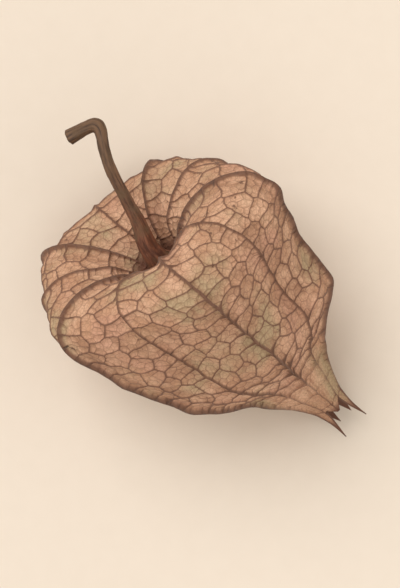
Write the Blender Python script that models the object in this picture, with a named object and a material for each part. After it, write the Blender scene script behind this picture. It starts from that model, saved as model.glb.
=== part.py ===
"""A dried physalis fruit as picked: its hooked stalk, its papery lantern husk and the berry inside.

The row frame is metres with +Z up. The fruit lies on its side on z = 0, its husk's tip towards +X
and its stalk towards -X, and the origin is the middle of its footprint.
"""

import math
import random

import bmesh
import bpy
import numpy as np
from mathutils import Matrix, Vector, noise
from mathutils.geometry import delaunay_2d_cdt

MM = 0.001

# How the fruit lies
LEAN = math.radians(22.5)  # the husk's axis rises this steeply from its tip to its base
TIP_HEIGHT = 2.1 * MM  # of the axis, at the rim of the tip
TIP_X, TIP_Y = 19.3 * MM, 0.0  # where the rim of the tip is, with the footprint's middle at 0, 0

# The husk's outline as distances from the rim of its tip, along its axis, and radii. It starts at
# the hole that the stalk comes through, in the sunken base.
PROFILE = [
    (25.0, 1.7),
    (26.4, 2.5),
    (28.6, 4.4),
    (30.1, 6.8),
    (30.6, 9.2),
    (30.0, 11.3),
    (28.4, 12.4),
    (25.8, 12.5),
    (22.2, 11.6),
    (18.5, 10.5),
    (14.8, 9.3),
    (12.0, 7.6),
    (9.9, 5.5),
    (7.4, 3.8),
    (4.4, 2.4),
    (2.0, 1.6),
    (0.0, 1.35),
]
WALL = 0.6 * MM
RIBS = 10  # five strong ones, which run out into the teeth, and five weak ones between them
PANEL = 2 * math.pi / RIBS
FIVE_SIDED = 0.05  # how much further out the strong ribs stand, and how much further in the weak
BASE_TILT = (0.18, 0.13)  # the base's slope, across the fruit and upwards
TILT_FROM, TILT_FULL = 18 * MM, 30 * MM  # the distances from the tip where it starts and is whole
SHOULDER, SHOULDER_AT, SHOULDER_LONG = 1.3 * MM, 12.4 * MM, 2.6 * MM  # a bulge on one side
CREASE, CREASE_SIZE = 0.45 * MM, 7.0 * MM  # the dried husk's unevenness
TEETH = [-1.2 * MM, 1.5 * MM, 0.6 * MM, 0.8 * MM, 1.6 * MM]  # how far each reaches past the rim
NOTCH = 2.6 * MM  # how far the rim is cut in between two teeth
TOOTH_ROOT = 7.0 * MM  # how far from the rim a tooth begins

# The net of veins on the husk
CELL = 2.35 * MM  # one mesh of it, across
LONG_CELL = 3.2 * MM  # one mesh along the narrow tip, where it is as wide as a panel
NARROW, WIDE = 2.5 * MM, 4.5 * MM  # the radii between which one becomes the other
STRAY, SPREAD = 0.2, 0.15  # how unevenly the meshes lie, as a share of a row and of a mesh
STAGGER = 0.4  # of a row, between neighbours where a panel is two meshes wide
NET_RISE = 0.32 * MM  # how far a vein stands out
STRONG_RIB, WEAK_RIB = 0.5 * MM, 0.2 * MM  # how much further the ribs stand out
VEIN_HALF, WEAK_HALF, STRONG_HALF = 0.2 * MM, 0.32 * MM, 0.44 * MM  # half of each one's width
ON_RIB, OFF_RIB = 0.2 * MM, 0.7 * MM  # a corner this near a rib is on it, or off it if this far
LOW_RELIEF = 4.5 * MM  # below this radius all of it gets lower
SHORTEST = 0.35 * MM  # no piece of a vein is shorter
LEFT = 0.15  # of each side of a mesh, at least, between the veins

# The stalk: its stretch on the husk's axis, as distances past the base's hole and radii, from the
# seat that the berry hangs from to the swelling outside the husk, and its free stretch, as points
# and radii
SEAT = [(-1.4, 2.0), (-1.2, 2.3), (-0.8, 2.3), (-0.6, 2.0), (-0.5, 1.05), (0.9, 1.05), (1.6, 1.3)]
HOOK = [
    (-7.2, 0.35, 12.9, 1.15),
    (-9.4, 1.6, 13.6, 0.8),
    (-12.0, 2.6, 14.2, 0.66),
    (-14.6, 3.7, 14.6, 0.61),
    (-16.9, 5.0, 14.6, 0.6),
    (-18.6, 6.25, 14.3, 0.66),
    (-19.75, 5.5, 13.8, 0.72),
    (-20.25, 3.5, 13.3, 0.82),
]
STALK_SIDES = 10
RIDGE = 0.09  # how much further out every other side's edge stands

# The berry, just off its seat
BERRY, GAP = 5.7 * MM, 0.3 * MM
BERRY_AT = (PROFILE[0][0] + SEAT[0][0]) * MM - GAP - BERRY
DIMPLE, DIMPLE_WIDTH = 0.5 * MM, 1.7 * MM
WRINKLE, WRINKLE_SIZE = 0.22 * MM, 2.4 * MM


def clear_scene():
    for item in list(bpy.data.objects):
        bpy.data.objects.remove(item)


def material(name, colour, roughness):
    made = bpy.data.materials.new(name)
    made.use_nodes = True
    shader = made.node_tree.nodes["Principled BSDF"]
    shader.inputs["Base Color"].default_value = (*colour, 1)
    shader.inputs["Roughness"].default_value = roughness
    return made


def add(name, mesh, finish):
    """A node from a finished bmesh."""
    bmesh.ops.triangulate(mesh, faces=mesh.faces)
    bmesh.ops.recalc_face_normals(mesh, faces=mesh.faces)
    data = bpy.data.meshes.new(name)
    mesh.to_mesh(data)
    mesh.free()
    data.shade_smooth()
    data.set_sharp_from_angle(angle=math.radians(40))
    data.materials.append(finish)
    bpy.context.scene.collection.objects.link(bpy.data.objects.new(name, data))


def placed(point):
    """Where the fruit lies, from the husk's own frame: across it, upwards, and from the tip."""
    across, up, height = point
    return Vector(
        (
            TIP_X - height * math.cos(LEAN) + up * math.sin(LEAN),
            TIP_Y + across,
            TIP_HEIGHT + height * math.sin(LEAN) + up * math.cos(LEAN),
        )
    )


def curve_through(points, steps):
    """A smooth curve through the points, with this many steps from each to the next."""
    known = np.array(points, float)
    known = np.vstack([2 * known[0] - known[1], known, 2 * known[-1] - known[-2]])
    found = []
    for a, b, c, d in zip(known, known[1:], known[2:], known[3:]):
        for t in np.arange(steps) / steps:
            bend = 2 * a - 5 * b + 4 * c - d
            found.append((2 * b + (c - a) * t + bend * t**2 + (3 * b - a - 3 * c + d) * t**3) / 2)
    return np.array([*found, known[-2]])


def running_total(steps):
    return np.concatenate([[0], np.cumsum(steps)])


def between(low, high, value):
    """0 below low, 1 above high, and a smooth step from one to the other."""
    t = min(1.0, max(0.0, (value - low) / (high - low)))
    return t * t * (3 - 2 * t)


# The outline as tables. A place on the husk is an angle round its axis and a rise from the base's
# hole to the tip, scaled so that one mesh of the net is as long in rise as it is wide in angle.
OUTLINE = curve_through(PROFILE, 24) * MM
STEPS = np.hypot(*np.diff(OUTLINE, axis=0).T)
RADII = (OUTLINE[1:, 1] + OUTLINE[:-1, 1]) / 2
MESH_LONG = np.interp(RADII, (NARROW, WIDE), (LONG_CELL, CELL))
RISE = running_total(STEPS * np.minimum(PANEL, CELL / RADII) / MESH_LONG)
ROWS = running_total(STEPS / MESH_LONG) / math.cos(math.radians(30))


def ribbing(angle):
    """1 on a strong rib and -1 on a weak one. One strong rib is on top, and a weak one below."""
    return math.cos(RIBS / 2 * (angle - math.pi / 2))


def reach(angle):
    """How far the husk goes past the rim of its tip at this angle."""
    tooth = TEETH[round((angle - math.pi / 2) / (2 * PANEL)) % len(TEETH)]
    return (tooth - NOTCH) / 2 + (tooth + NOTCH) / 2 * ribbing(angle)


def husk_form(angle, rise):
    """A point of the husk without its net, in its own frame."""
    height = np.interp(rise, RISE, OUTLINE[:, 0])
    radius = np.interp(rise, RISE, OUTLINE[:, 1])
    full = between(NARROW, WIDE, radius)
    radius *= 1 + FIVE_SIDED * ribbing(angle) * full
    bulge = math.exp(-(((height - SHOULDER_AT) / SHOULDER_LONG) ** 2))
    radius += SHOULDER * bulge * max(0.0, math.cos(angle)) ** 2
    point = Vector((radius * math.cos(angle), radius * math.sin(angle), height))
    point.xy *= 1 + noise.noise(point / CREASE_SIZE) * CREASE * full / radius
    tilt = point.x * BASE_TILT[0] + point.y * BASE_TILT[1]
    point.z -= tilt * between(TILT_FROM, TILT_FULL, height)
    point.z -= reach(angle) * max(0.0, 1 - height / TOOTH_ROOT) ** 1.5
    return point


def net_seeds():
    """The middles of the net's meshes, as angles and rises. Those beside a rib are mirrored in it,
    so that the rib is one straight vein."""
    draw = random.Random(4)
    rows = round(ROWS[-1])

    def rise_at(row):
        return np.interp(row / rows * ROWS[-1], ROWS, RISE)

    seeds = []
    for row in range(rows):
        radius = np.interp(rise_at(row + 0.5), RISE, OUTLINE[:, 1])
        across = max(1, round(radius * PANEL / CELL))
        for rib in range(RIBS):
            middle = math.pi / 2 + rib * PANEL
            beside = PANEL / across / 2 * (1 + draw.uniform(-SPREAD, SPREAD))
            later = STAGGER if across == 2 and rib % 2 else 0
            rise = rise_at(row + 0.5 + later + draw.uniform(-STRAY, STRAY))
            if across > 1 or rib % 2 == 0:
                seeds += [(middle - beside, rise), (middle + beside, rise)]
            rise = rise_at(min(row + 1 + draw.uniform(-STRAY, STRAY), rows - STRAY))
            for place in range(1, across - 1):
                place += 0.5 + draw.uniform(-SPREAD, SPREAD)
                seeds.append((middle + PANEL * place / across, rise))
    return seeds


def net_meshes(seeds):
    """The corners of each mesh, in order. A mesh is what lies nearer to its seed than to others,
    and mirroring the seeds in both rims makes the meshes end there."""
    turn, end = 2 * math.pi, RISE[-1]
    points = [Vector((angle + full, rise)) for full in (0, turn, -turn) for angle, rise in seeds]
    points += [Vector((p.x, 2 * rim - p.y)) for rim in (0, end) for p in points]
    points, _, triangles, sources, *_ = delaunay_2d_cdt(points, [], [], 0, 1e-7)
    around = [[] for _ in seeds]
    for corners in triangles:
        a, b, c = (points[corner] for corner in corners)
        ab, ac = b - a, c - a
        across = Vector((ac.y, -ac.x)) * ab.length_squared - Vector((ab.y, -ab.x)) * ac.length_squared
        middle = a + across / (2 * ab.cross(ac))
        for source in {source for corner in corners for source in sources[corner]}:
            if source < len(seeds):
                around[source].append(middle)
    for seed, corners in zip(seeds, around):
        seed = Vector(seed)
        yield sorted(corners, key=lambda corner: math.atan2(*(corner - seed)))


def on_rib(angle, radius):
    """1 where a corner of the net is on a rib, and 0 where it is off it."""
    off = abs((angle - math.pi / 2 + PANEL / 2) % PANEL - PANEL / 2) * radius
    return 1 - between(ON_RIB, OFF_RIB, off)


def vein_rise(angle, radius):
    """How far a corner of the net stands out."""
    rib = STRONG_RIB if ribbing(angle) > 0 else WEAK_RIB
    return (NET_RISE + rib * on_rib(angle, radius)) * min(1, radius / LOW_RELIEF)


def vein_half(one, other, radius):
    """Half the width of the vein between corners at these two angles."""
    turn = (other - one + math.pi) % (2 * math.pi) - math.pi
    if abs(turn) > PANEL / 4:
        return VEIN_HALF
    rib = STRONG_HALF if ribbing(one) > 0 else WEAK_HALF
    return VEIN_HALF + (rib - VEIN_HALF) * min(on_rib(one, radius), on_rib(other, radius))


def moved_in(corners, normal, widths):
    """The corners of a mesh after each side has moved inwards by its own width."""
    sides = [after - corner for corner, after in zip(corners, corners[1:] + corners[:1])]
    inwards = [normal.cross(side).normalized() for side in sides]
    found = []
    for i, corner in enumerate(corners):
        back, ahead = inwards[i - 1], inwards[i]
        turn = back.dot(ahead)
        if turn > 0.95:
            shift = (back + ahead) * (widths[i - 1] + widths[i]) / 4
        else:
            share = widths[i - 1] - widths[i] * turn, widths[i] - widths[i - 1] * turn
            shift = (back * share[0] + ahead * share[1]) / (1 - max(turn, -0.9) ** 2)
        longest = 2.5 * max(widths[i - 1], widths[i])
        if shift.length > longest:
            shift *= longest / shift.length
        found.append(corner + shift)
    return found


def sunk(panel, angle_of, rise_of):
    """Where a mesh's corners are once there are veins round it, narrower ones if it is too small
    for them."""
    ring = [loop.vert for loop in panel.loops]
    corners = [corner.co.copy() for corner in ring]
    widths = []
    for one, other in zip(ring, ring[1:] + ring[:1]):
        radius = np.interp(one[rise_of], RISE, OUTLINE[:, 1])
        widths.append(vein_half(one[angle_of], other[angle_of], radius))
    while True:
        inner = moved_in(corners, panel.normal, widths)
        sides = zip(corners, corners[1:] + corners[:1], inner, inner[1:] + inner[:1])
        if all((b - a).dot(d - c) > LEFT * (b - a).length_squared for a, b, c, d in sides):
            return inner
        widths = [width * 0.8 for width in widths]


def husk():
    """The net as faces on the husk's form, given a wall, with each outer face then sunk between
    the veins round it. Its resting side is pressed flat on the surface."""
    mesh = bmesh.new()
    angle_of = mesh.verts.layers.float.new("angle")
    rise_of = mesh.verts.layers.float.new("rise")
    for corners in net_meshes(net_seeds()):
        ring = []
        for angle, rise in corners:
            corner = mesh.verts.new(husk_form(angle, rise))
            corner[angle_of], corner[rise_of] = angle, rise
            ring.append(corner)
        mesh.faces.new(ring)
    bmesh.ops.remove_doubles(mesh, verts=mesh.verts, dist=SHORTEST)
    bmesh.ops.recalc_face_normals(mesh, faces=mesh.faces)
    outside = mesh.faces[:]
    crests = mesh.verts[:]
    bmesh.ops.solidify(mesh, geom=outside, thickness=WALL)
    mesh.normal_update()
    places = [sunk(panel, angle_of, rise_of) for panel in outside]
    bmesh.ops.inset_individual(mesh, faces=outside, thickness=0.0)
    for panel, inner in zip(outside, places):
        for loop, place in zip(panel.loops, inner):
            loop.vert.co = place
    mesh.normal_update()
    rises = [
        crest.normal * vein_rise(crest[angle_of], np.interp(crest[rise_of], RISE, OUTLINE[:, 1]))
        for crest in crests
    ]
    for crest, rise in zip(crests, rises):
        crest.co += rise
    outer = {corner for panel in outside for corner in panel.verts} | set(crests)
    for corner in mesh.verts:
        corner.co = placed(corner.co)
        corner.co.z = max(corner.co.z, 0 if corner in outer else WALL)
    return mesh


def berry():
    """A slightly wrinkled ball with a dimple where it hangs from its seat."""
    mesh = bmesh.new()
    bmesh.ops.create_uvsphere(mesh, u_segments=24, v_segments=16, radius=BERRY)
    for point in mesh.verts:
        off_axis = point.co.xy.length / DIMPLE_WIDTH
        if point.co.z > 0:
            point.co.z -= DIMPLE * math.exp(-(off_axis**2))
        point.co *= 1 + (noise.noise(point.co / WRINKLE_SIZE) - 1) * WRINKLE / BERRY
        point.co = placed(point.co + Vector((0, 0, BERRY_AT)))
    return mesh


def stalk():
    """One ridged outline extruded from station to station."""
    hole = PROFILE[0][0]
    stations = [(placed((0, 0, (hole + past) * MM)), radius * MM) for past, radius in SEAT]
    for *place, radius in curve_through([(*stations[-1][0] / MM, SEAT[-1][1]), *HOOK], 4)[1:] * MM:
        stations.append((Vector(place), radius))
    mesh = bmesh.new()
    bmesh.ops.create_circle(mesh, segments=STALK_SIDES, radius=1)
    for side, corner in enumerate(mesh.verts):
        corner.co *= 1 + RIDGE * (-1) ** side
    ring = mesh.edges[:]
    along, turned, before = Vector((0, 0, 1)), Matrix(), Matrix()
    for i, (place, radius) in enumerate(stations):
        if i:
            grown = bmesh.ops.extrude_edge_only(mesh, edges=ring)["geom"]
            ring = [item for item in grown if isinstance(item, bmesh.types.BMEdge)]
        ahead = stations[min(i + 1, len(stations) - 1)][0] - stations[max(i - 1, 0)][0]
        turned = along.rotation_difference(ahead).to_matrix().to_4x4() @ turned
        along = ahead
        here = Matrix.Translation(place) @ turned @ Matrix.Scale(radius, 4)
        corners = list({corner for edge in ring for corner in edge.verts})
        bmesh.ops.transform(mesh, matrix=here @ before.inverted(), verts=corners)
        before = here
    bmesh.ops.holes_fill(mesh, edges=mesh.edges)
    return mesh


clear_scene()
add("husk", husk(), material("dried_husk", (0.40, 0.22, 0.13), 0.85))
add("berry", berry(), material("dried_berry", (0.16, 0.045, 0.018), 0.4))
add("stalk", stalk(), material("dried_stalk", (0.17, 0.07, 0.035), 0.75))
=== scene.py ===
import math
import random

import bmesh
import bpy
import numpy as np
from mathutils import Matrix, Vector, noise
from mathutils.geometry import delaunay_2d_cdt


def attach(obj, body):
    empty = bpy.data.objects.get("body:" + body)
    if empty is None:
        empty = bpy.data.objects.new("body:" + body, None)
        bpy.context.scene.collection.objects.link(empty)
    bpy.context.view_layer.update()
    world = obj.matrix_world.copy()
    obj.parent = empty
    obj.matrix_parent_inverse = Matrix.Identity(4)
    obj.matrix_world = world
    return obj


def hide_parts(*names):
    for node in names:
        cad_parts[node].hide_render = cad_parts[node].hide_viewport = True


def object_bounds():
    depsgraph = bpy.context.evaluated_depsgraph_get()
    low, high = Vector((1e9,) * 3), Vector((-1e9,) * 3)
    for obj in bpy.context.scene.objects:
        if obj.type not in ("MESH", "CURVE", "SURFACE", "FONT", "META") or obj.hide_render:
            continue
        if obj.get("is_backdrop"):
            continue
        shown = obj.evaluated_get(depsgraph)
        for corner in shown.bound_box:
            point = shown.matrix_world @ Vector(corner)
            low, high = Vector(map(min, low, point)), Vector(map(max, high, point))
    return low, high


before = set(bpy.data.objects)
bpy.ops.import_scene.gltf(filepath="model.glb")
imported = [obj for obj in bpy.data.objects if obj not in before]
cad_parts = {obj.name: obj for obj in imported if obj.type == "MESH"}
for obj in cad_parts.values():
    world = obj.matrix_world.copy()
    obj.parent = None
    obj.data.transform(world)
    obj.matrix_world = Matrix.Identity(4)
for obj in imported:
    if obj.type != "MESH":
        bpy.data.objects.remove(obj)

cad_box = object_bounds()

# The berry
# A ripe berry that has dried in its husk: thin leathery skin, shrunk into soft wrinkles over the
# flesh. It hangs from the seat on the end of the stalk, and a dimple marks where.
MM = 0.001
LEAN = math.radians(22.5)  # the fruit's axis rises this steeply from the husk's tip to its base
TIP = Vector((19.3, 0.0, 2.1)) * MM  # the axis at the rim of the husk's tip
HOLE = 25.0 * MM  # from there along the axis to the hole in the husk's base
SEAT_DEPTH = 1.4 * MM  # of the seat's face inside the hole
BERRY = 5.7 * MM  # its radius
BERRY_AT = HOLE - SEAT_DEPTH - BERRY  # its middle, from the tip along the axis
DIMPLE, DIMPLE_WIDTH = 0.5 * MM, 1.7 * MM  # how deep it is, and how far out it fades
WRINKLES = [(0.5, 3.4), (0.26, 1.5), (0.08, 0.7)]  # depths and sizes, in millimetres


class Value:
    """A socket of a material's nodes. Sums on it add Math nodes to that material."""

    def __init__(self, socket):
        self.socket = socket

    def node(self, kind, settings, inputs, output=0):
        """The output of a new node, whose settings are made before its inputs are filled."""
        tree = self.socket.id_data
        made = tree.nodes.new(kind)
        for name, setting in settings.items():
            setattr(made, name, setting)
        for name, given in inputs.items():
            if isinstance(given, Value):
                tree.links.new(given.socket, made.inputs[name])
            else:
                made.inputs[name].default_value = given
        return Value(made.outputs[output])

    def math(self, operation, other):
        return self.node("ShaderNodeMath", {"operation": operation}, {0: self, 1: other})

    def __add__(self, other):
        return self.math("ADD", other)

    def __sub__(self, other):
        return self.math("SUBTRACT", other)

    def __rsub__(self, other):
        return self * -1 + other

    def __mul__(self, other):
        return self.math("MULTIPLY", other)

    __radd__, __rmul__ = __add__, __mul__

    def between(self, low, high):
        """0 where this is below low, 1 above high, and a smooth step from one to the other."""
        settings = {"interpolation_type": "SMOOTHSTEP"}
        return self.node("ShaderNodeMapRange", settings, {"Value": self, 1: low, 2: high})

    def choose(self, off, on):
        """The colour off where this is 0, on where it is 1, and their mixture in between."""
        inputs = {0: self, 6: off, 7: on}
        inputs = {n: (*c, 1) if isinstance(c, tuple) else c for n, c in inputs.items()}
        return self.node("ShaderNodeMix", {"data_type": "RGBA"}, inputs, output=2)

    def noise(self, size, detail=2, roughness=0.5):
        """Cloudy noise from 0 to 1 over this place, with blots of about this size in metres."""
        inputs = {"Vector": self, "Scale": 1 / size, "Detail": detail, "Roughness": roughness}
        return self.node("ShaderNodeTexNoise", {}, inputs)

    def layer(self, name, output):
        """What the mesh holds at each corner under this name. Output 1 is a vector, 2 a number."""
        return self.node("ShaderNodeAttribute", {"attribute_name": name}, {}, output)

    def cell_edges(self, size):
        """0 on the edges of a pattern of cells of about this size in metres, and more inside."""
        inputs = {"Vector": self, "Scale": 1 / size}
        return self.node("ShaderNodeTexVoronoi", {"feature": "DISTANCE_TO_EDGE"}, inputs)


def new_material(name):
    """A material with nothing in it yet, the place on the piece in metres, and its own output."""
    material = bpy.data.materials.new(name)
    material.use_nodes = True
    material.node_tree.nodes.clear()
    output = material.node_tree.nodes.new("ShaderNodeOutputMaterial")
    place = Value(material.node_tree.nodes.new("ShaderNodeTexCoord").outputs["Object"])
    return material, place, output


def surface(place, output, relief, relief_depth, **inputs):
    """Fills the material's output with a Principled shader over a bumped surface."""
    bump = {"Height": relief, "Distance": relief_depth, "Strength": 1.0}
    normal = place.node("ShaderNodeBump", {}, bump)
    inputs = {name.replace("_", " "): given for name, given in inputs.items()}
    shader = place.node("ShaderNodeBsdfPrincipled", {}, {"Normal": normal, **inputs})
    place.socket.id_data.links.new(shader.socket, output.inputs["Surface"])


def placed(point):
    """Where the fruit lies, from the husk's own frame: across it, upwards, and from the tip."""
    across, up, height = point
    sin, cos = math.sin(LEAN), math.cos(LEAN)
    return TIP + Vector((up * sin - height * cos, across, height * sin + up * cos))


def finished(name, mesh, material, node):
    """Makes a piece from a bmesh, which stands for the solid of this node."""
    mesh.normal_update()
    bmesh.ops.recalc_face_normals(mesh, faces=mesh.faces)  # placed() mirrors what it moves
    data = bpy.data.meshes.new(name)
    mesh.to_mesh(data)
    mesh.free()
    data.shade_smooth()
    data.materials.append(material)
    piece = bpy.data.objects.new(name, data)
    bpy.context.scene.collection.objects.link(piece)
    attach(piece, "root")
    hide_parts(node)


def berry_material():
    material, place, output = new_material("dried_berry_skin")
    blots = place.noise(2.6 * MM, detail=4, roughness=0.6)
    specks = place.noise(0.35 * MM, detail=2)
    colour = blots.between(0.35, 0.7).choose((0.13, 0.028, 0.010), (0.30, 0.085, 0.022))
    colour = specks.between(0.62, 0.75).choose(colour, (0.42, 0.17, 0.06))
    grain = place.noise(0.22 * MM, detail=5, roughness=0.65)
    surface(
        place, output, grain + blots, 0.06 * MM,
        Base_Color=colour, Roughness=0.30 + 0.25 * blots, Coat_Weight=0.15, Coat_Roughness=0.3,
    )
    return material


berry = bmesh.new()
bmesh.ops.create_icosphere(berry, subdivisions=6, radius=BERRY)
for point in berry.verts:
    way = point.co.normalized()
    depth = 0
    for rough, size in WRINKLES:
        fold = 1 - abs(noise.noise(point.co / (size * MM))) * 2
        depth += rough * MM * max(0.0, fold) ** 3
    if point.co.z > 0:
        point.co.z -= DIMPLE * math.exp(-((point.co.xy.length / DIMPLE_WIDTH) ** 2))
    point.co -= way * depth
    point.co = placed(point.co + Vector((0, 0, BERRY_AT)))
finished("dried_berry", berry, berry_material(), "berry")


# The stalk
# The fruit's own stalk: woody, thinly ridged along its length, with a swollen top that the husk
# and the berry both grow from, and a sharp hook at the end where it parted from the plant.

# The seat inside the husk and the stalk's start: how far past the hole, and the radius there, in
# millimetres
SEAT = [
    (-1.45, 1.0),
    (-1.4, 1.8),
    (-1.2, 2.2),
    (-0.7, 2.3),
    (-0.3, 2.0),
    (0.2, 1.85),
    (0.9, 1.6),
    (1.8, 1.25),
]

# The rest of the stalk, to its hooked end: where its middle runs, and its radius, in millimetres
HOOK = [
    (-7.2, 0.35, 12.9, 1.0),
    (-9.4, 1.6, 13.6, 0.72),
    (-12.0, 2.6, 14.2, 0.62),
    (-14.6, 3.7, 14.6, 0.58),
    (-16.9, 5.1, 14.6, 0.56),
    (-18.2, 6.15, 14.4, 0.66),
    (-18.95, 6.2, 14.2, 0.72),
    (-19.5, 5.4, 13.9, 0.64),
    (-20.2, 3.6, 13.3, 0.76),
]

STALK_SIDES, STALK_STEPS = 48, 12  # round it, and along it from each point of HOOK to the next
RIDGES, RIDGE = 6, 0.07  # how many ridges run along it, and their height as a share of its radius
FINE_RIDGES, FINE_RIDGE = 17, RIDGE / 3
KNOTS = [(0.09, 1.6), (0.03, 0.5)]  # heights and sizes, in millimetres
GRAIN_LONG = 6 * MM  # the length of stalk that is 1 in its grain


def curve_through(points, steps):
    """A smooth curve through the points, with this many steps from each to the next."""
    known = np.array(points, float)
    known = np.vstack([2 * known[0] - known[1], known, 2 * known[-1] - known[-2]])
    found = []
    for a, b, c, d in zip(known, known[1:], known[2:], known[3:]):
        for t in np.arange(steps) / steps:
            bend = 2 * a - 5 * b + 4 * c - d
            found.append((2 * b + (c - a) * t + bend * t**2 + (3 * b - a - 3 * c + d) * t**3) / 2)
    return np.array([*found, known[-2]])


def stalk_material():
    material, place, output = new_material("dried_stalk_bark")
    grain = place.layer("grain", output=1)
    streaks = grain.noise(0.35, detail=4, roughness=0.6)
    blots = place.noise(1.8 * MM, detail=3)
    out = grain.node("ShaderNodeSeparateXYZ", {}, {"Vector": grain}, output=2).between(0.7, 2.6)
    dark = out.choose((0.085, 0.026, 0.012), (0.060, 0.030, 0.015))
    light = out.choose((0.245, 0.088, 0.042), (0.175, 0.092, 0.046))
    colour = streaks.between(0.35, 0.65).choose(dark, light)
    colour = blots.between(0.45, 0.75).choose(colour, (0.13, 0.072, 0.035))
    surface(
        place, output, streaks + 0.5 * place.noise(0.2 * MM, detail=4), 0.09 * MM,
        Base_Color=colour, Roughness=0.55 + 0.25 * blots,
    )
    return material


stations = [(placed((0, 0, HOLE + past * MM)), radius * MM) for past, radius in SEAT]
seat_end = (*stations[-1][0] / MM, SEAT[-1][1])
for *spot, radius in curve_through([seat_end, *HOOK], STALK_STEPS)[1:] * MM:
    stations.append((Vector(spot), radius))
stalk = bmesh.new()
grain = stalk.verts.layers.float_vector.new("grain")
bmesh.ops.create_circle(stalk, segments=STALK_SIDES, radius=1)
for corner in stalk.verts:
    turn = math.atan2(corner.co.y, corner.co.x)
    corner[grain] = (math.cos(turn), math.sin(turn), 0)
    corner.co *= 1 + RIDGE * math.cos(RIDGES * turn) + FINE_RIDGE * math.cos(FINE_RIDGES * turn + 1)
ring = stalk.edges[:]
along, turned, before, gone = Vector((0, 0, 1)), Matrix(), Matrix(), 0
for i, (spot, radius) in enumerate(stations):
    if i:
        grown = bmesh.ops.extrude_edge_only(stalk, edges=ring)["geom"]
        ring = [item for item in grown if isinstance(item, bmesh.types.BMEdge)]
        gone += (spot - stations[i - 1][0]).length
    ahead = stations[min(i + 1, len(stations) - 1)][0] - stations[max(i - 1, 0)][0]
    turned = along.rotation_difference(ahead).to_matrix().to_4x4() @ turned
    along = ahead
    here = Matrix.Translation(spot) @ turned @ Matrix.Scale(radius, 4)
    corners = list({corner for edge in ring for corner in edge.verts})
    bmesh.ops.transform(stalk, matrix=here @ before.inverted(), verts=corners)
    for corner in corners:
        corner[grain] = (*corner[grain].xy, gone / GRAIN_LONG)
    before = here
bmesh.ops.holes_fill(stalk, edges=stalk.edges)
bmesh.ops.recalc_face_normals(stalk, faces=stalk.faces)
stalk.normal_update()
for corner in stalk.verts:
    knot = sum(noise.noise(corner.co / (size * MM)) * height for height, size in KNOTS)
    corner.co += corner.normal * knot * MM
finished("hooked_stalk", stalk, stalk_material(), "stalk")


# The husk
# The flower's green cup, grown to a lantern round the berry and dried to brown paper. Strong ribs
# run into its five teeth, weak ones lie between them, and a net of veins and veinlets fills in.

# The outline from the hole in the base, over the shoulder and down to the tip: heights above the
# tip and radii, in millimetres
PROFILE = [
    (25.0, 1.7),
    (26.4, 2.5),
    (28.6, 4.4),
    (30.1, 6.8),
    (30.6, 9.2),
    (30.0, 11.3),
    (28.4, 12.4),
    (25.8, 12.5),
    (22.2, 11.6),
    (18.5, 10.5),
    (14.8, 9.3),
    (12.0, 7.6),
    (9.9, 5.5),
    (7.4, 3.8),
    (4.4, 2.4),
    (2.0, 1.6),
    (0.0, 1.35),
]

OUTLINE_STEPS = 24  # from each point of PROFILE to the next
WALL = 0.22 * MM  # the paper's thickness
RIBS = 10  # five strong ones, which run out into the teeth, and five weak ones between them
PANEL = 2 * math.pi / RIBS
FIVE_SIDED = 0.05  # how much further out the strong ribs stand, and how much further in the weak
BASE_TILT = (0.18, 0.13)  # the base's slope, across the fruit and upwards
TILT_FROM, TILT_FULL = 18 * MM, 30 * MM  # the heights where it starts and is whole
SHOULDER, SHOULDER_AT, SHOULDER_LONG = 1.3 * MM, 12.4 * MM, 2.6 * MM  # a bulge on one side
CREASES = [(0.45, 7.0), (0.20, 2.6), (0.06, 1.1)]  # heights and sizes, in millimetres
PLEAT, PLEAT_WIDTH, PLEAT_LONG = 0.25 * MM, 3.0 * MM, 14 * MM  # sharp folds that run lengthwise
TEETH = [-1.2 * MM, 1.5 * MM, 0.6 * MM, 0.8 * MM, 1.6 * MM]  # how far each reaches past the rim
LEANS = [0.0, 0.30 * MM, -0.15 * MM, 0.10 * MM, 0.25 * MM]  # how far its point leans outwards
NOTCH = 2.6 * MM  # how far the rim is cut in between two teeth
NARROWING, POINTED = 1.1, 0.98  # how a tooth narrows, and how much of its width it loses
POINT = 0.35 * MM  # this much of each tooth is one point

# The net of veins, and the finer one of veinlets between them
CELL = 2.35 * MM  # one mesh of the veins, across
LONG_CELL = 3.2 * MM  # one mesh along the narrow tip, where it is as wide as a panel
NARROW, WIDE = 2.5 * MM, 4.5 * MM  # the radii between which one becomes the other
STRAY, SPREAD = 0.2, 0.15  # how unevenly the meshes lie, as a share of a row and of a mesh
STAGGER = 0.4  # of a row, between neighbours where a panel is two meshes wide
FINE, FINEST = 0.92 * MM, 0.26 * MM  # one mesh of the veinlets, at full width and at the tip's rim
FINE_STRAY = 0.36  # of a mesh
INSIDE = 0.2  # of a mesh, at least, from its middle to a rim
JOINED, JOINED_AGAIN = 0.07 * MM, 0.05 * MM  # corners this near are one, before and after shaping
SLIVER = 0.014 * MM**2  # a smaller mesh closes up, by a limit that gets lower towards the points
STRAIGHTENINGS, LOOSENINGS = 5, 4  # how often the veins and the veinlets are smoothed
DRAWN = 0.85  # how far a rib's corners are drawn onto its line

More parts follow.
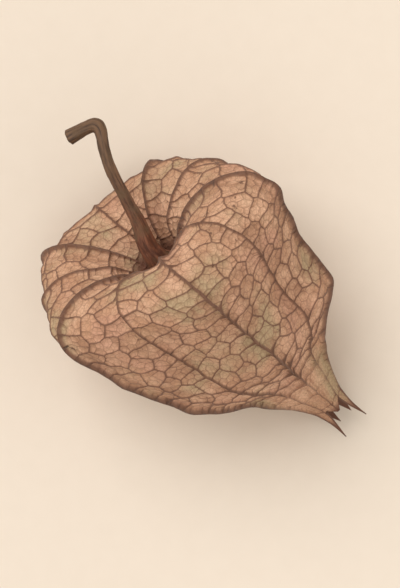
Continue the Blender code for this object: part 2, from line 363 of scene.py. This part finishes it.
# Strong and weak ribs, veins and veinlets: how high they stand, half their widths, how dark they are
STRONG, WEAK, VEIN, VEINLET = 3, 2, 1, 0
RISES = {STRONG: 0.68 * MM, WEAK: 0.42 * MM, VEIN: 0.20 * MM, VEINLET: 0.05 * MM}
HALVES = {STRONG: 0.30 * MM, WEAK: 0.22 * MM, VEIN: 0.15 * MM, VEINLET: 0.07 * MM}
DARKS = {STRONG: 1.0, WEAK: 0.95, VEIN: 0.85, VEINLET: 0.55}
SLOPE = [(0.5, 0.55, 0.7), (1.0, 0.0, 0.08)]  # shares of a vein's half width, rise and darkness
UNEVEN, UNEVEN_SIZE = 0.5, 1.8 * MM  # in the veins' width
TRIES, EASED = 12, 0.8  # to fit a mesh's veins in, each with this share of the width before
NECK = 1.8  # how far from a vein's middle a veinlet gets its corner, in half widths of the vein
NECK_MOST = 0.4  # of that side of the veinlet mesh
LOW_RELIEF = 4.5 * MM  # below this radius the relief gets lower
SINK, SINK_SIZE = 0.10 * MM, 4 * MM  # of the paper between the veins
VEIN_SINK, NECK_SINK, VEINLET_SINK, UNEVEN_SINK = 0.3, 0.45, 0.8, 0.9  # shares of that
SAG = 0.025 * MM  # of one veinlet mesh
TEETH_DARK = 3.6 * MM  # how far up from the teeth's ends they are darker
LIP_DARK = 0.5 * MM, 4.5 * MM  # how far from the hole its dark lip starts to fade, and ends
PALE_FROM, PALE_TO = (2 * MM, 4 * MM), (7 * MM, 12 * MM)  # paler veins, up from the teeth's ends
PALER = 0.4
FLOW_LONG = 25 * MM  # the length of husk that is 1 in its fibres' flow


def between(low, high, value):
    """0 below low, 1 above high, and a smooth step from one to the other."""
    t = min(1.0, max(0.0, (value - low) / (high - low)))
    return t * t * (3 - 2 * t)


def running_total(steps):
    return np.concatenate([[0], np.cumsum(steps)])


# Three lengths along the outline: ARC in metres, NET in meshes of the veins, and ROUND, which makes
# the surface's two coordinates equally long so that a pattern drawn on them isn't stretched.
OUTLINE = curve_through(PROFILE, OUTLINE_STEPS) * MM
STEPS = np.hypot(*np.diff(OUTLINE, axis=0).T)
RADII = (OUTLINE[1:, 1] + OUTLINE[:-1, 1]) / 2
MESH_LONG = np.interp(RADII, (NARROW, WIDE), (LONG_CELL, CELL))
ARC = running_total(STEPS)
NET = running_total(STEPS * np.minimum(PANEL, CELL / RADII) / MESH_LONG)
ROWS = running_total(STEPS / MESH_LONG) / math.cos(math.radians(30))
ROUND = running_total(STEPS / RADII)
FINE_LONG = np.interp(RADII, (OUTLINE[-1, 1], WIDE), (FINEST, FINE))
FINE_ROWS = running_total(STEPS / FINE_LONG) / math.cos(math.radians(30))
HIGHEST = np.argmax(OUTLINE[:, 0])
NOTCH_ARC = np.interp(-NOTCH, -OUTLINE[HIGHEST:, 0], ARC[HIGHEST:])


def ribbing(angle):
    """1 on a strong rib and -1 on a weak one. One strong rib is on top, and a weak one below."""
    return math.cos(RIBS / 2 * (angle - math.pi / 2))


def turned_by(one, other):
    """How far round the second angle is from the first, at most half a turn."""
    return (other - one + math.pi) % (2 * math.pi) - math.pi


def nearest_tooth(angle):
    """The number of the tooth that this angle is on."""
    return round((angle - math.pi / 2) / (2 * PANEL)) % len(TEETH)


def slimness(arc):
    """What is left of the wall and its relief towards the teeth's points."""
    return 1 - 0.75 * between(NOTCH_ARC, ARC[-1], arc)


def relief_at(arc):
    """How strong the relief is, which is less in the narrow tip."""
    return min(1.0, np.interp(arc, ARC, OUTLINE[:, 1]) / LOW_RELIEF) * slimness(arc)


def husk_form(angle, arc, tooth):
    """A point of the husk without its net, in its own frame. Past the notches it is on the tooth of
    this number, which narrows to its point."""
    height = np.interp(arc, ARC, OUTLINE[:, 0])
    radius = np.interp(arc, ARC, OUTLINE[:, 1])
    if height < NOTCH:
        gone = 1 - height / NOTCH
        rib = math.pi / 2 + tooth * 2 * PANEL
        angle = rib + turned_by(rib, angle) * (1 - POINTED * gone**NARROWING)
        radius += LEANS[tooth] * gone**2
        height = NOTCH - gone * (NOTCH + TEETH[tooth])
        return Vector((radius * math.cos(angle), radius * math.sin(angle), height))
    full = between(NARROW, WIDE, radius)
    radius *= 1 + FIVE_SIDED * ribbing(angle) * full
    bulge = math.exp(-(((height - SHOULDER_AT) / SHOULDER_LONG) ** 2))
    radius += SHOULDER * bulge * max(0.0, math.cos(angle)) ** 2
    point = Vector((radius * math.cos(angle), radius * math.sin(angle), height))
    crease = sum(noise.noise(point / (size * MM)) * rough * MM for rough, size in CREASES)
    pleat = Vector((point.x / PLEAT_WIDTH, point.y / PLEAT_WIDTH, arc / PLEAT_LONG))
    crease += (max(0.0, 1 - 3 * abs(noise.noise(pleat))) - 0.4) * PLEAT
    point.xy *= 1 + crease * full / radius
    tilt = point.x * BASE_TILT[0] + point.y * BASE_TILT[1]
    point.z -= tilt * between(TILT_FROM, TILT_FULL, height)
    return point


def net_seeds():
    """The middles of the meshes between the veins, as angles and lengths in NET. Those beside a rib
    are mirrored in it."""
    draw = random.Random(4)
    rows = round(ROWS[-1])

    def net_at(row):
        return np.interp(row / rows * ROWS[-1], ROWS, NET)

    seeds = []
    for row in range(rows):
        radius = np.interp(net_at(row + 0.5), NET, OUTLINE[:, 1])
        across = max(1, round(radius * PANEL / CELL))
        for rib in range(RIBS):
            middle = math.pi / 2 + rib * PANEL
            beside = PANEL / across / 2 * (1 + draw.uniform(-SPREAD, SPREAD))
            later = STAGGER if across == 2 and rib % 2 else 0
            net = net_at(row + 0.5 + later + draw.uniform(-STRAY, STRAY))
            if across > 1 or rib % 2 == 0:
                seeds += [(middle - beside, net), (middle + beside, net)]
            net = net_at(min(row + 1 + draw.uniform(-STRAY, STRAY), rows - STRAY))
            for place in range(1, across - 1):
                place += 0.5 + draw.uniform(-SPREAD, SPREAD)
                seeds.append((middle + PANEL * place / across, net))
    return np.array(seeds)


def fine_seeds():
    """The middles of the meshes between the veinlets, as angles and arcs."""
    draw = random.Random(11)
    rows = round(FINE_ROWS[-1])
    seeds = []
    for row in range(rows):
        middle = np.interp((row + 0.5) / rows * FINE_ROWS[-1], FINE_ROWS, ARC)
        radius = np.interp(middle, ARC, OUTLINE[:, 1])
        long = np.interp(middle, ARC[1:], FINE_LONG)
        number = round(2 * math.pi * radius / long)
        start = draw.random()
        for i in range(number):
            angle = (i + start + draw.uniform(-FINE_STRAY, FINE_STRAY)) * 2 * math.pi / number
            arc = middle + draw.uniform(-FINE_STRAY, FINE_STRAY) * long
            arc = min(max(arc, INSIDE * long), ARC[-1] - INSIDE * long)
            seeds.append((angle % (2 * math.pi), arc))
    return seeds


def owners(seeds, fine):
    """Which mesh of the veins each veinlet mesh is in."""
    turn = 2 * math.pi
    angles = (seeds[:, 0] % turn)[:, None] + np.array((-turn, 0, turn))
    nets = seeds[:, 1]
    found = []
    for angle, arc in fine:
        net = np.interp(arc, ARC, NET)
        off = np.min((angles - angle) ** 2, axis=1) + (nets - net) ** 2
        found.append(int(np.argmin(off)))
    return found


def meshes_round(seeds):
    """The corners of each seed's mesh, in order, as angles and arcs. A mesh is what lies nearer to
    its seed than to others. The seeds within a margin of where the circle closes are copied past
    it, and those by the two rims are mirrored in them, which makes the meshes end there."""
    turn, end, margin = 2 * math.pi, ROUND[-1], 0.8
    flat = [Vector((angle, np.interp(arc, ARC, ROUND))) for angle, arc in seeds]
    points = flat + [p + Vector((turn, 0)) for p in flat if p.x < margin]
    points += [p - Vector((turn, 0)) for p in flat if p.x > turn - margin]
    points += [
        Vector((p.x, 2 * rim - p.y))
        for rim in (0, end)
        for p in points
        if abs(rim - p.y) < margin
    ]
    points, _, triangles, sources, *_ = delaunay_2d_cdt(points, [], [], 0, 1e-7)
    around = [[] for _ in flat]
    for corners in triangles:
        a, b, c = (points[corner] for corner in corners)
        ab, ac = b - a, c - a
        aside, away = Vector((ac.y, -ac.x)), Vector((ab.y, -ab.x))
        centre = aside * ab.length_squared - away * ac.length_squared
        middle = a + centre / (2 * ab.cross(ac))
        for source in {source for corner in corners for source in sources[corner]}:
            if source < len(flat):
                around[source].append(middle)
    for seed, corners in zip(flat, around):
        corners.sort(key=lambda corner: math.atan2(*(corner - seed)))
        yield [(corner.x, np.interp(corner.y, ROUND, ARC)) for corner in corners]


def rib_between(one, other):
    """The rib that lies between these two angles, as its number and its angle, or None."""
    one, other = ((a - math.pi / 2) / PANEL for a in (one, other))
    other += round((one - other) / RIBS) * RIBS
    low, high = sorted((one, other))
    rib = math.floor(high)
    return (rib % RIBS, rib * PANEL + math.pi / 2) if rib > low else None


def moved_in(corners, normal, widths):
    """The corners of a mesh after each side has moved inwards by its own width. Where two sides run
    almost straight on, their corner moves by the mean of both."""
    sides = [after - corner for corner, after in zip(corners, corners[1:] + corners[:1])]
    inwards = [normal.cross(side).normalized() for side in sides]
    straight, sharpest, furthest = 0.95, -0.9, 2.5
    found = []
    for i, corner in enumerate(corners):
        back, ahead = inwards[i - 1], inwards[i]
        turn = back.dot(ahead)
        if turn > straight:
            shift = (back + ahead) * (widths[i - 1] + widths[i]) / 4
        else:
            share = widths[i - 1] - widths[i] * turn, widths[i] - widths[i - 1] * turn
            shift = (back * share[0] + ahead * share[1]) / (1 - max(turn, sharpest) ** 2)
        longest = furthest * max(widths[i - 1], widths[i])
        if shift.length > longest:
            shift *= longest / shift.length
        found.append(corner + shift)
    return found


def fits(corners, inner, left=0.08):
    """Whether each side of the smaller outline still runs the way it did, with this much left."""
    sides = zip(corners, corners[1:] + corners[:1], inner, inner[1:] + inner[:1])
    return all((b - a).dot(d - c) >= left * (b - a).length_squared for a, b, c, d in sides)


def fitting_widths(corners, levels, normal):
    """Half the widths of the veins round a mesh, all narrower if it is too small for them."""
    middles = [(corner + after) / 2 for corner, after in zip(corners, corners[1:] + corners[:1])]
    widths = [
        HALVES[level] * (1 + UNEVEN * noise.noise(middle / UNEVEN_SIZE))
        for level, middle in zip(levels, middles)
    ]
    for _ in range(TRIES):
        if fits(corners, moved_in(corners, normal, widths)):
            break
        widths = [width * EASED for width in widths]
    return widths


def husk_material():
    material, place, output = new_material("dried_husk_paper")
    vein, rim = (place.layer(name, output=2) for name in ("vein", "rim"))
    flow = place.layer("flow", output=1)
    clouds = place.noise(7 * MM, detail=3)
    patches = place.noise(3.2 * MM, detail=4, roughness=0.6)
    fibres = flow.noise(0.16, detail=5, roughness=0.65)
    specks = place.noise(0.5 * MM, detail=3, roughness=0.7)
    spots = place.noise(1.3 * MM, detail=3, roughness=0.6)
    threads = place.cell_edges(0.42 * MM).between(0.02, 0.14)
    paper = patches.between(0.35, 0.68).choose((0.53, 0.282, 0.162), (0.71, 0.43, 0.275))
    paper = clouds.between(0.50, 0.66).choose(paper, (0.47, 0.335, 0.19))
    paper = (0.6 * (1 - clouds.between(0.36, 0.48))).choose(paper, (0.60, 0.315, 0.21))
    paper = fibres.between(0.45, 0.75).choose(paper, (0.41, 0.21, 0.118))
    paper = (0.3 * (1 - threads)).choose(paper, (0.22, 0.105, 0.055))
    dark = (vein * (0.75 + 0.7 * spots) + (fibres - 0.5) * 0.4).between(0.12, 0.95)
    colour = dark.choose(paper, (0.185, 0.083, 0.046))
    colour = (rim + (patches - 0.5) * 0.6).between(0.3, 0.9).choose(colour, (0.155, 0.054, 0.026))
    colour = specks.between(0.68, 0.76).choose(colour, (0.12, 0.05, 0.025))
    colour = (0.8 * spots.between(0.69, 0.73)).choose(colour, (0.13, 0.055, 0.028))
    relief = 0.5 * fibres + 0.4 * specks + 0.6 * patches - 0.12 * threads
    surface(
        place, output, relief, 0.12 * MM,
        Base_Color=colour, Roughness=0.58 + 0.2 * patches, Sheen_Weight=0.08,
    )
    return material


veins = net_seeds()
fine = fine_seeds()
husk = bmesh.new()
angle_of = husk.verts.layers.float.new("angle")
arc_of = husk.verts.layers.float.new("arc")
number_of = husk.verts.layers.int.new("number")
vein_of = husk.verts.layers.float.new("vein")
rim_of = husk.verts.layers.float.new("rim")
flow_of = husk.verts.layers.float_vector.new("flow")
level_of = husk.edges.layers.int.new("level")
owner_of = husk.faces.layers.int.new("owner")

# The veinlet meshes come first, each of them one face that knows which vein mesh it lies in.
for corners, inside in zip(meshes_round(fine), owners(veins, fine)):
    ring = []
    for angle, arc in corners:
        corner = husk.verts.new(husk_form(angle, min(arc, NOTCH_ARC), 0))
        corner.co.z -= max(0.0, arc - NOTCH_ARC)
        corner[angle_of], corner[arc_of] = angle, arc
        ring.append(corner)
    husk.faces.new(ring)[owner_of] = inside
bmesh.ops.remove_doubles(husk, verts=husk.verts, dist=JOINED)

# A veinlet mesh cut off from the rest of its vein mesh joins the one that it touches most.
for panel in husk.faces:
    others = [other for edge in panel.edges for other in edge.link_faces if other != panel]
    around = [other[owner_of] for other in others]
    if panel[owner_of] not in around:
        panel[owner_of] = max(sorted(set(around)), key=around.count)

# The sides of the fine meshes that part two meshes of the veins are veins. They are smoothed into
# one line, and those on a rib are drawn onto it.
on_rib = {}
beside = {}
for edge in husk.edges:
    one, other = (face[owner_of] for face in (edge.link_faces[0], edge.link_faces[-1]))
    if one != other:
        rib = rib_between(veins[one][0], veins[other][0])
        edge[level_of] = VEIN if rib is None else WEAK if rib[0] % 2 else STRONG
        for corner in edge.verts:
            beside.setdefault(corner, []).append(edge.other_vert(corner))
            if rib:
                on_rib[corner] = rib[1]


def halfway_to(others, corner):
    """Half the way from a corner to the middle of others, round the husk and along it."""
    round_by = sum(turned_by(corner[angle_of], other[angle_of]) for other in others)
    along_by = sum(other[arc_of] - corner[arc_of] for other in others)
    return round_by / len(others) / 2, along_by / len(others) / 2


for _ in range(STRAIGHTENINGS):
    moves = {
        corner: halfway_to(others, corner)
        for corner, others in beside.items()
        if len(others) > 1 and not corner.is_boundary
    }
    for corner, (round_by, along_by) in moves.items():
        corner[angle_of] += round_by
        corner[arc_of] += along_by
for corner, rib in on_rib.items():
    drawn = 1 if corner[arc_of] > NOTCH_ARC else DRAWN
    corner[angle_of] += turned_by(corner[angle_of], rib) * drawn
loose = [corner for corner in husk.verts if corner not in beside and not corner.is_boundary]
for _ in range(LOOSENINGS):
    for corner in loose:
        others = [edge.other_vert(corner) for edge in corner.link_edges]
        round_by, along_by = halfway_to(others, corner)
        corner[angle_of] += round_by
        corner[arc_of] += along_by

# The rim is cut in along the weak ribs, and each side of a cut goes to its own tooth. What would
# be too small for its veins, most of it in the teeth's points, closes up.
tooth_of = {face: nearest_tooth(veins[face[owner_of]][0]) for face in husk.faces}
cuts = [
    edge
    for edge in husk.edges
    if min(corner[arc_of] for corner in edge.verts) > NOTCH_ARC
    and tooth_of[edge.link_faces[0]] != tooth_of[edge.link_faces[-1]]
]
bmesh.ops.split_edges(husk, edges=cuts)
for corner in husk.verts:
    tooth = tooth_of[corner.link_faces[0]]
    if corner[arc_of] > ARC[-1] - POINT:
        corner[angle_of], corner[arc_of] = math.pi / 2 + tooth * 2 * PANEL, ARC[-1]
    corner.co = husk_form(corner[angle_of], corner[arc_of], tooth)
bmesh.ops.remove_doubles(husk, verts=husk.verts, dist=JOINED_AGAIN)
slivers = {
    edge
    for panel in husk.faces
    if panel.calc_area() < SLIVER * slimness(max(corner[arc_of] for corner in panel.verts))
    for edge in panel.edges
}
bmesh.ops.collapse(husk, edges=list(slivers))
for edge in husk.edges:
    if edge.is_boundary and min(corner[arc_of] for corner in edge.verts) > NOTCH_ARC:
        edge[level_of] = VEIN

# Each veinlet gets a corner where it leaves a vein, so that it doesn't widen towards it.
necks = set()
for edge in husk.edges[:]:
    if edge[level_of] == VEINLET and not edge.is_boundary:
        for corner in edge.verts[:]:
            highest = max(other[level_of] for other in corner.link_edges)
            if highest > VEINLET:
                share = min(NECK_MOST, NECK * HALVES[highest] / edge.calc_length())
                necks.add(bmesh.utils.edge_split(edge, corner, share)[1])
bmesh.ops.recalc_face_normals(husk, faces=husk.faces)
husk.normal_update()

# Each corner gets the height of its highest vein, over paper that is sunk between the veins.
outside, crests = husk.faces[:], husk.verts[:]
ways = {corner: corner.normal.copy() for corner in crests}
ground = {}
heights = {}
for corner in crests:
    highest = max(edge[level_of] for edge in corner.link_edges)
    low = VEIN_SINK
    if corner in necks:
        low = NECK_SINK
    elif highest == VEINLET:
        low = VEINLET_SINK + UNEVEN_SINK * noise.noise(corner.co / SINK_SIZE)
    ground[corner] = -SINK * low * relief_at(corner[arc_of])
    heights[corner] = ground[corner] + RISES[highest] * relief_at(corner[arc_of])
    corner[vein_of] = DARKS[highest]
    corner[number_of] = len(ground) - 1

# The paper's inside is a copy of its outside, made before the veins rise from that.
grown = bmesh.ops.extrude_face_region(husk, geom=outside, use_keep_orig=True)["geom"]
inner = {item for item in grown if isinstance(item, bmesh.types.BMVert)}
for corner in inner:
    corner.co -= ways[crests[corner[number_of]]] * WALL * slimness(corner[arc_of])
bmesh.ops.recalc_face_normals(husk, faces=husk.faces)

# Two rings inside each mesh are its veins' slope, and its middle sags a little.
plans = []
for panel in outside:
    before = [loop.vert for loop in panel.loops]
    corners = [corner.co.copy() for corner in before]
    levels = [loop.edge[level_of] for loop in panel.loops]
    normal = panel.normal.copy()
    widths = fitting_widths(corners, levels, normal)
    plans.append((before, corners, levels, widths, normal))
for share, stands, shade in SLOPE:
    bmesh.ops.inset_individual(husk, faces=outside, thickness=0.0)
    for panel, (before, corners, levels, widths, normal) in zip(outside, plans):
        places = moved_in(corners, normal, [width * share for width in widths])
        middle = sum(corners, Vector()) / len(corners)
        arc = sum(corner[arc_of] for corner in before) / len(before)
        for i, (loop, place) in enumerate(zip(panel.loops, places)):
            corner = loop.vert
            inwards = (place - corners[i]).length / max(1e-9, (middle - corners[i]).length)
            corner.co = place
            corner[arc_of] += (arc - before[i][arc_of]) * min(1.0, inwards) * 0.5
            stand = (RISES[levels[i]] + RISES[levels[i - 1]]) / 2 * relief_at(corner[arc_of])
            heights[corner] = ground[before[i]] + stand * stands
            corner[vein_of] = (DARKS[levels[i]] + DARKS[levels[i - 1]]) / 2 * shade
            ways[corner] = normal
for corner, height in heights.items():
    corner.co += ways[corner] * height
bmesh.ops.poke(husk, faces=outside, offset=-SAG, center_mode="MEAN")

# The teeth's ends and the lip of the hole are darker, and the veins paler just above the teeth.
for corner in husk.verts:
    to_rim = ARC[-1] - corner[arc_of]
    corner[rim_of] = 1 - between(0, TEETH_DARK, to_rim)
    corner[rim_of] += 1 - between(*LIP_DARK, corner[arc_of])
    pale = between(*PALE_FROM, to_rim) * (1 - between(*PALE_TO, to_rim))
    corner[vein_of] *= 1 - PALER * pale
    corner[flow_of] = (*corner.co.xy.normalized(), corner[arc_of] / FLOW_LONG)
    corner.co = placed(corner.co)
    corner.co.z = max(corner.co.z, WALL if corner in inner else 0)
finished("papery_husk", husk, husk_material(), "husk")


# The table, the lights and the camera
# A plain cream table top under a large soft light, seen from straight above as the fruit lies.
def table_material():
    material, place, output = new_material("cream_table_top")
    grain = place.noise(2 * MM, detail=3)
    colour = grain.choose((0.80, 0.70, 0.59), (0.83, 0.73, 0.62))
    surface(place, output, grain, 0.01 * MM, Base_Color=colour, Roughness=0.9)
    return material


top = bmesh.new()
bmesh.ops.create_grid(top, x_segments=1, y_segments=1, size=6)
bmesh.ops.translate(top, verts=top.verts, vec=(0, 0, -0.02 * MM))
data = bpy.data.meshes.new("table_top")
top.to_mesh(data)
top.free()
data.materials.append(table_material())
table = bpy.data.objects.new("table_top", data)
bpy.context.scene.collection.objects.link(table)
table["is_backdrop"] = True

PHOTO_TURN = math.radians(40)  # the fruit's axis points this far below the photo's horizontal
for name, (right, up, height), spread, strength in (
    ("window_light", (-0.45, 0.45, 0.75), 40, 1.5),
    ("fill_light", (0.6, -0.5, 0.6), 90, 0.55),
):
    light = bpy.data.lights.new(name, "SUN")
    light.angle, light.energy = math.radians(spread), strength
    lamp = bpy.data.objects.new(name, light)
    lamp.location = Matrix.Rotation(PHOTO_TURN, 3, "Z") @ Vector((right, up, height))
    lamp.rotation_euler = lamp.location.to_track_quat("Z", "Y").to_euler()
    bpy.context.scene.collection.objects.link(lamp)

world = bpy.data.worlds.new("soft_room")
world.use_nodes = True
world.node_tree.nodes["Background"].inputs["Color"].default_value = (1.0, 0.94, 0.86, 1)
world.node_tree.nodes["Background"].inputs["Strength"].default_value = 0.68
bpy.context.scene.world = world

lens = bpy.data.cameras.new("camera")
lens.sensor_fit, lens.sensor_width = "HORIZONTAL", 36
lens.lens = 525
lens.clip_start, lens.clip_end = 0.05, 10
camera = bpy.data.objects.new("camera", lens)
camera.location = (0.0, 0.0, 0.6)
camera.rotation_euler = (0, 0, PHOTO_TURN)
bpy.context.scene.collection.objects.link(camera)
bpy.context.scene.camera = camera
bpy.context.scene.view_settings.view_transform = "Standard"

boxes = {"cad": cad_box, "visual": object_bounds()}
boxes = {name: [list(corner) for corner in box] for name, box in boxes.items()}
